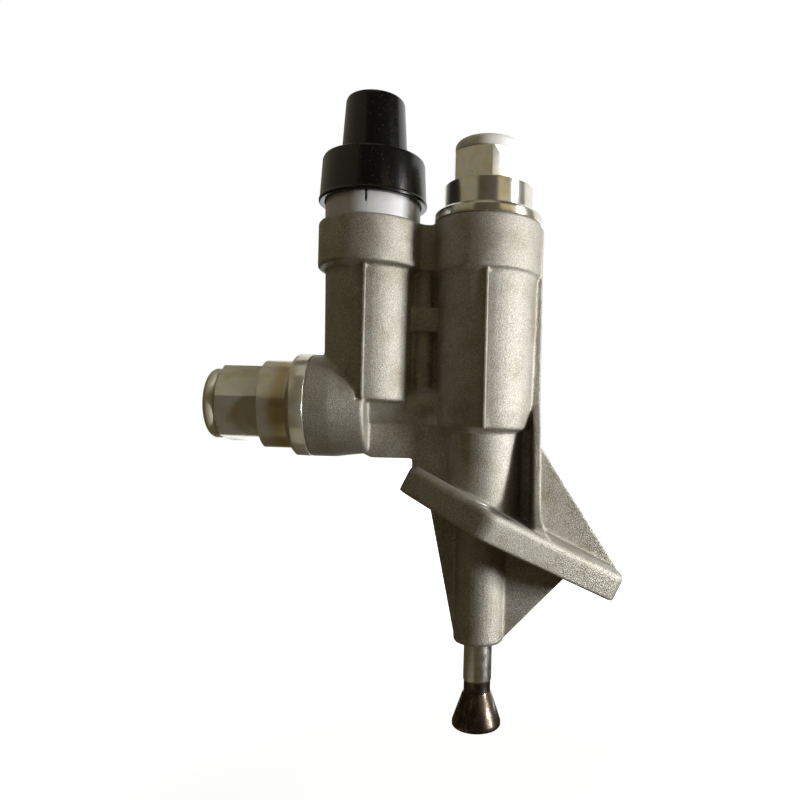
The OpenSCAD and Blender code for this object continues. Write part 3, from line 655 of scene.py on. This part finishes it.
def ribPrism(r, x, low, high, side, bar):
    # an upright bar on a barrel's front or back, which may narrow to its crest
    bpy.ops.object.select_all(action="DESELECT")
    bpy.ops.mesh.primitive_cube_add(size=1, location=(0, 0, 0))
    rib = bpy.context.active_object
    deep = bar["root"] + bar["proud"]
    rib.scale = metres((bar["wide"], deep, high - low))
    bpy.ops.object.transform_apply(location=True, rotation=True, scale=True)
    bpy.ops.object.mode_set(mode="EDIT")
    bpy.ops.mesh.select_mode(type="FACE")
    bpy.ops.mesh.select_all(action="DESELECT")
    bpy.ops.object.mode_set(mode="OBJECT")
    for face in rib.data.polygons:
        face.select = face.normal.y * side > 0.9
    bpy.ops.object.mode_set(mode="EDIT")
    bpy.ops.transform.resize(value=(bar["crest"] / bar["wide"], 1, 1))
    bpy.ops.object.mode_set(mode="OBJECT")
    putAt(rib, (x, side * (r - bar["root"] + deep / 2), (low + high) / 2))
    return rib


def shaveRibs(body, make):
    bar = make["shaveBar"]
    for r, x, low, high in make["ribs"]:
        for side in (-1, 1):
            shave = ribPrism(r, x, low - bar["below"], high - bar["short"], side, bar)
            skin = turnUp("skin", make["barrelSkin"][x])
            putAt(skin, (x, 0, 0))
            combine(shave, skin, "DIFFERENCE")
            combine(body, shave, "DIFFERENCE")


def softenSkin(body, make):
    # one closed skin over the stopped-up solid, with rounded corners
    for r, low, high, x in make["stops"]:
        stopUp(body, r, low, high, (x, 0, 0))
    stopUp(body, *make["inletStop"], (0, 0, make["inletZ"]), (0, 90, 0))
    for side in (-1, 1):
        stopUp(body, *make["boltStop"], (0, side * make["boltAt"], 0), (0, make["slope"], 0))
    remesh = body.modifiers.new("skin", "REMESH")
    remesh.mode = "VOXEL"
    remesh.voxel_size = make["voxel"] * mm
    remesh.adaptivity = 0
    smooth = body.modifiers.new("soften", "SMOOTH")
    smooth.iterations = make["smoothRounds"]
    smooth.factor = make["smoothShare"]
    thin = body.modifiers.new("thin", "DECIMATE")
    thin.ratio = make["keep"]
    applyAll(body)


def markMilled(body, make):
    # the flange's lower face, the collars' tops and the snout's end are milled
    milled = make["milled"]
    slope = math.radians(make["slope"])
    down = Vector((-math.sin(slope), 0, -math.cos(slope)))
    for face in body.data.polygons:
        near = abs(face.center.dot(down)) < milled["flangeNear"] * mm
        onFlange = near and face.normal.dot(down) > milled["flangeFacing"]
        onTop = face.normal.z > milled["facing"] and face.center.z > milled["topFrom"] * mm
        onSnout = face.normal.z < -milled["facing"] and face.center.z < milled["snoutTo"] * mm
        face.material_index = 1 if onFlange or onTop or onSnout else 0


def cutBores(body, make):
    combine(body, cutter(make["pumpBore"], sides=fineSides), "DIFFERENCE")
    combine(body, cutter(make["primerBore"], (primerX, 0, 0), sides=fineSides), "DIFFERENCE")
    inletPlace = (make["inletFace"], 0, make["inletZ"])
    combine(body, cutter(make["inletBore"], inletPlace, (0, -90, 0)), "DIFFERENCE")
    combine(body, cutter(make["gallery"], (make["galleryX"], 0, 0), sides=smallSides), "DIFFERENCE")
    for side in (-1, 1):
        place, turn = (0, side * make["boltAt"], 0), (0, make["slope"], 0)
        combine(body, cutter(make["boltHole"], place, turn), "DIFFERENCE")


def addRibs(body, make):
    bar = make["ribBar"]
    for r, x, low, high in make["ribs"]:
        for side in (-1, 1):
            rib = ribPrism(r, x, low, high, side, bar)
            bevelEdges(rib, bar["bevel"], 2)
            dress(rib, look["cast"], look["milled"])
            combine(body, rib, "UNION")


def castBody(make):
    body = copyOfNode("housing", "castBody")
    shaveRibs(body, make)
    softenSkin(body, make)
    dress(body, look["cast"], look["milled"])
    markMilled(body, make)
    print("cast skin:", len(body.data.polygons), "faces")
    cutBores(body, make)
    addRibs(body, make)
    smoothShade(body, make["smoothAngle"])
    print("cast body:", len(body.data.polygons), "faces")
    finishPiece(body, "body", "housing")


castBody(casting)


# The steel fittings

fittingShape = {
    # what both have: hexagon, thread, narrow bore and port, as widths or radii
    "flats": 22, "thread": 12.48, "narrow": 4.5, "port": 7.2, "round": 14,
    # edges: chamfers, the step at the foot of the round stretch, and bevels
    "hexChamfer": 1.3, "hexTopIn": 0.3, "hexFoot": 1, "ringChamfer": 1.1, "rootOut": 0.5, "rootUp": 0.4,
    "bevel": 0.3, "hexBevel": 0.22, "hexBevelAngle": 20,
}
# heights are counted from the face that the ring lies on
outletFitting = {
    "base": 96.5, "spigot": 12.18, "ring": 17.1, "ringTop": 3.5, "roundTop": 11.7, "hexTop": 22.1,
    "turn": 33.6, "portFloor": 12.1,
    # the bore, from the spigot up: the valve's pocket, the tube that stops the disc, and the narrow part
    "bore": [(8, -14), (8, 8.7), (5.2, 8.7), (5.2, -5), (4.5, -5)],
}
inletFitting = {
    "base": 54.1, "spigot": 7.28, "ring": 16.3, "ringTop": 5.4, "roundTop": 14.7, "hexTop": 28.3,
    "turn": 39, "portFloor": 18.3,
    "bore": [(8, -9), (8, 8.7), (4.5, 8.7)],
}


def hexHead(make, shape):
    top = make["hexTop"]
    flat = shape["flats"] / 2
    corner = flat / math.cos(math.radians(30))
    bpy.ops.object.select_all(action="DESELECT")
    bpy.ops.mesh.primitive_cylinder_add(vertices=6, radius=corner * mm, depth=(top - shape["hexFoot"]) * mm,
                                        location=(0, 0, (top + shape["hexFoot"]) / 2 * mm),
                                        rotation=(0, 0, math.radians(make["turn"] + 30)))
    hexagon = bpy.context.active_object
    onlySelect(hexagon)
    bpy.ops.object.transform_apply(location=True, rotation=True, scale=True)
    # a turned outline chamfers the six upper corners; a trace over the top keeps its face whole
    limit = turnUp("limit", [(corner + over, -over), (corner + over, top - shape["hexChamfer"]),
                             (flat - shape["hexTopIn"], top + 0.001)], fineSides)
    combine(hexagon, limit, "INTERSECT")
    bevelEdges(hexagon, shape["hexBevel"], 3, shape["hexBevelAngle"])
    return hexagon


def portFitting(name, make, shape):
    ring, ringTop, roundR = make["ring"], make["ringTop"], shape["round"]
    foot = turnUp(name, [(shape["thread"], -make["spigot"]), (shape["thread"], 0), (ring, 0),
                         (ring, ringTop - shape["ringChamfer"]), (ring - shape["ringChamfer"], ringTop),
                         (roundR + shape["rootOut"], ringTop), (roundR, ringTop + shape["rootUp"]),
                         (roundR, make["roundTop"])], fineSides)
    bevelEdges(foot, shape["bevel"])
    combine(foot, hexHead(make, shape), "UNION")
    port, low = shape["port"], make["portFloor"]
    upper = [(shape["narrow"], low), (port, low), (port, make["hexTop"] + over)]
    combine(foot, turnUp("drill", make["bore"] + upper), "DIFFERENCE")
    smoothShade(foot)
    return foot


outlet = portFitting("outletFitting", outletFitting, fittingShape)
putAt(outlet, (0, 0, outletFitting["base"]))
dress(outlet, look["zincUp"])
finishPiece(outlet, "body", "outlet_fitting")
inlet = portFitting("inletFitting", inletFitting, fittingShape)
putAt(inlet, (-inletFitting["base"], 0, casting["inletZ"]), (0, -90, 0))
dress(inlet, look["zincAcross"])
finishPiece(inlet, "body", "inlet_fitting")
print("fittings made")


# The protective caps

capShape = {
    "head": 11, "headHigh": 4, "headRound": (1.6, 0.5, 0.6), "underIn": 0.4, "underUp": 0.7,
    "plug": 7.1, "plugDeep": 9, "noseIn": 1.1, "noseUp": 1.5, "lift": 0.05,
    # the shallow dish in the head
    "dishIn": 3.0, "dishEdge": 3.6, "dishDeep": 0.7, "bevel": 0.4,
}


def protectiveCap(name, make):
    head, high, plug, lift = make["head"], make["headHigh"], make["plug"], make["lift"]
    cap = turnUp(name, [
        (plug - make["noseIn"], -make["plugDeep"]), (plug, -make["plugDeep"] + make["noseUp"]), (plug, lift),
        (head - make["underIn"], lift), (head, lift + make["underUp"]),
        *roundedEdge(head, high, *make["headRound"]),
        (head - make["dishIn"], high), (head - make["dishEdge"], high - make["dishDeep"])])
    bevelEdges(cap, make["bevel"])
    smoothShade(cap)
    return cap


outletCap = protectiveCap("outletCap", capShape)
putAt(outletCap, (0, 0, outletFitting["base"] + outletFitting["hexTop"]))
dress(outletCap, look["cap"])
finishPiece(outletCap, "outlet_plug", "outlet_cap")
inletCap = protectiveCap("inletCap", capShape)
putAt(inletCap, (-inletFitting["base"] - inletFitting["hexTop"], 0, casting["inletZ"]), (0, -90, 0))
dress(inletCap, look["capOld"])
finishPiece(inletCap, "inlet_plug", "inlet_cap")
print("caps made")


# The primer: white guide and black button

guideShape = {
    "z": 95.3, "r": 15, "up": 11.6, "edge": 0.8, "lift": 0.05, "spigot": 12.03, "spigotDeep": 11.9,
    "wall": 3, "cupDeep": 5, "stemHole": 3.05, "bevel": 0.25,
    "slitWide": 0.8, "slitDeep": 4, "slitUp": 3.7,
}
buttonShape = {
    # skirt, from its rim, which stays just clear of the casting at full stroke
    "z": 101.8, "rim": 0.15, "rimEdge": 0.35, "skirt": 17.15, "skirtHigh": 14.5, "draft": 0.95,
    "bead": [(0, 1.2), (0.25, 1.5)], "shoulder": (1.1, 0.35, 0.3), "hollow": 15.3, "roof": 12,
    # grip, with the blind hole for the stem under its cap
    "grip": 10.5, "gripTop": 9.35, "gripHigh": 19.4, "gripRoot": [(0.8, 0), (0.2, 0.25), (0, 0.8)],
    "gripRound": (1.4, 0.4, 0.4), "gripCap": 8, "stemHole": 3.02,
    "bevel": 0.18, "bevelAngle": 24,
}


def primerGuide(make):
    r, up, spigot = make["r"], make["up"], make["spigot"]
    cup = r - make["wall"]
    guide = turnUp("primerGuide", [(spigot, -make["spigotDeep"]), (spigot, make["lift"]), (r, make["lift"]),
                                   (r, up - make["edge"]), (r - make["edge"], up), (cup, up),
                                   (cup, up - make["cupDeep"])], fineSides)
    bevelEdges(guide, make["bevel"])
    bpy.ops.object.select_all(action="DESELECT")
    bpy.ops.mesh.primitive_cube_add(size=1, location=metres((0, -r, make["slitUp"] + up / 2)),
                                    scale=metres((make["slitWide"], make["slitDeep"], up)))
    slit = bpy.context.active_object
    onlySelect(slit)
    bpy.ops.object.transform_apply(location=True, rotation=True, scale=True)
    combine(guide, slit, "DIFFERENCE")
    hole = [(make["stemHole"], -make["spigotDeep"] - over), (make["stemHole"], up + over)]
    combine(guide, turnUp("stemHole", hole, smallSides), "DIFFERENCE")
    smoothShade(guide)
    return guide


def primerButton(make):
    skirt, rim, high, grip = make["skirt"], make["rim"], make["skirtHigh"], make["grip"]
    top = high + make["gripHigh"]
    button = turnUp("primerButton", [
        (make["stemHole"], top - make["gripCap"]), (make["stemHole"], make["roof"]),
        (make["hollow"], make["roof"]), (make["hollow"], rim), (skirt - make["rimEdge"], rim),
        (skirt, rim + make["rimEdge"]), *[(skirt - inward, z) for inward, z in make["bead"]],
        *roundedEdge(skirt - make["draft"], high, *make["shoulder"]),
        *[(grip + out, high + up) for out, up in make["gripRoot"]],
        *roundedEdge(make["gripTop"], top, *make["gripRound"])], fineSides)
    bevelEdges(button, make["bevel"], 2, make["bevelAngle"])
    smoothShade(button)
    return button


guide = primerGuide(guideShape)
putAt(guide, (primerX, 0, guideShape["z"]))
dress(guide, look["nylon"])
finishPiece(guide, "body", "primer_guide")
button = primerButton(buttonShape)
putAt(button, (primerX, 0, buttonShape["z"]))
dress(button, look["black"])
finishPiece(button, "primer", "primer_button")
print("primer made")


# The push rod

rodShape = {
    "r": 4.5, "neck": 4.25, "foot": 7.75, "top": 49.4, "bottom": -63.6, "topEdge": 0.6, "bevel": 0.15,
    # the foot's domed sole, in from its rim and up from the bottom, then heights from the bottom
    "sole": [(2.4, 0.25), (0.5, 0.7), (0, 1.2)], "footHigh": 2.5, "flareTop": 11.2, "flareOut": 0.5,
    "neckFrom": 11.8, "neckTo": 15.4, "stepTop": 15.65,
    # the groove of the retaining clip
    "grooveFrom": 2.3, "grooveTo": 3.3, "grooveDeep": 0.6,
}


def pushRod(make):
    r, neck, foot, low, top = make["r"], make["neck"], make["foot"], make["bottom"], make["top"]
    groove = r - make["grooveDeep"]
    rod = turnUp("pushRod", [
        *[(foot - inward, low + up) for inward, up in make["sole"]], (foot, low + make["footHigh"]),
        (neck + make["flareOut"], low + make["flareTop"]), (neck, low + make["neckFrom"]),
        (neck, low + make["neckTo"]), (r, low + make["stepTop"]),
        (r, make["grooveFrom"]), (groove, make["grooveFrom"]), (groove, make["grooveTo"]),
        (r, make["grooveTo"]), (r, top - make["topEdge"]), (r - make["topEdge"], top)])
    bevelEdges(rod, make["bevel"])
    smoothShade(rod)
    return rod


rod = pushRod(rodShape)
dress(rod, look["rod"])
finishPiece(rod, "rod", "push_rod")
print("push rod made")


# The springs: copies of the frame's coils, smooth-shaded and fixed to the body; each is listed with the
# joint that works it, its axis, fixed end and stroke

springs = {
    "pump_spring": {"joint": "piston_slide", "axis": (0, 0, 1), "fixed": (0, 0, 84.3), "stroke": 7},
    "rod_spring": {"joint": "rod_push", "axis": (0, 0, 1), "fixed": (0, 0, 25.4), "stroke": 7},
    "primer_spring": {"joint": "primer_push", "axis": (0, 0, 1), "fixed": (primerX, 0, 53.4), "stroke": 6.5},
    "outlet_valve_spring": {"joint": "outlet_lift", "axis": (0, 0, 1), "fixed": (0, 0, 105.2),
                            "stroke": 1.5},
    "inlet_valve_spring": {"joint": "inlet_lift", "axis": (1, 0, 0),
                           "fixed": (-48.2, 0, casting["inletZ"]), "stroke": 1.5},
}
for springName, make in springs.items():
    coil = copyOfNode(springName, springName.replace("_s", "S").replace("_v", "V"))
    smoothShade(coil, 60)
    dress(coil, look["spring"])
    finishPiece(coil, "body", springName)
    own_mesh(coil)
print("springs made")
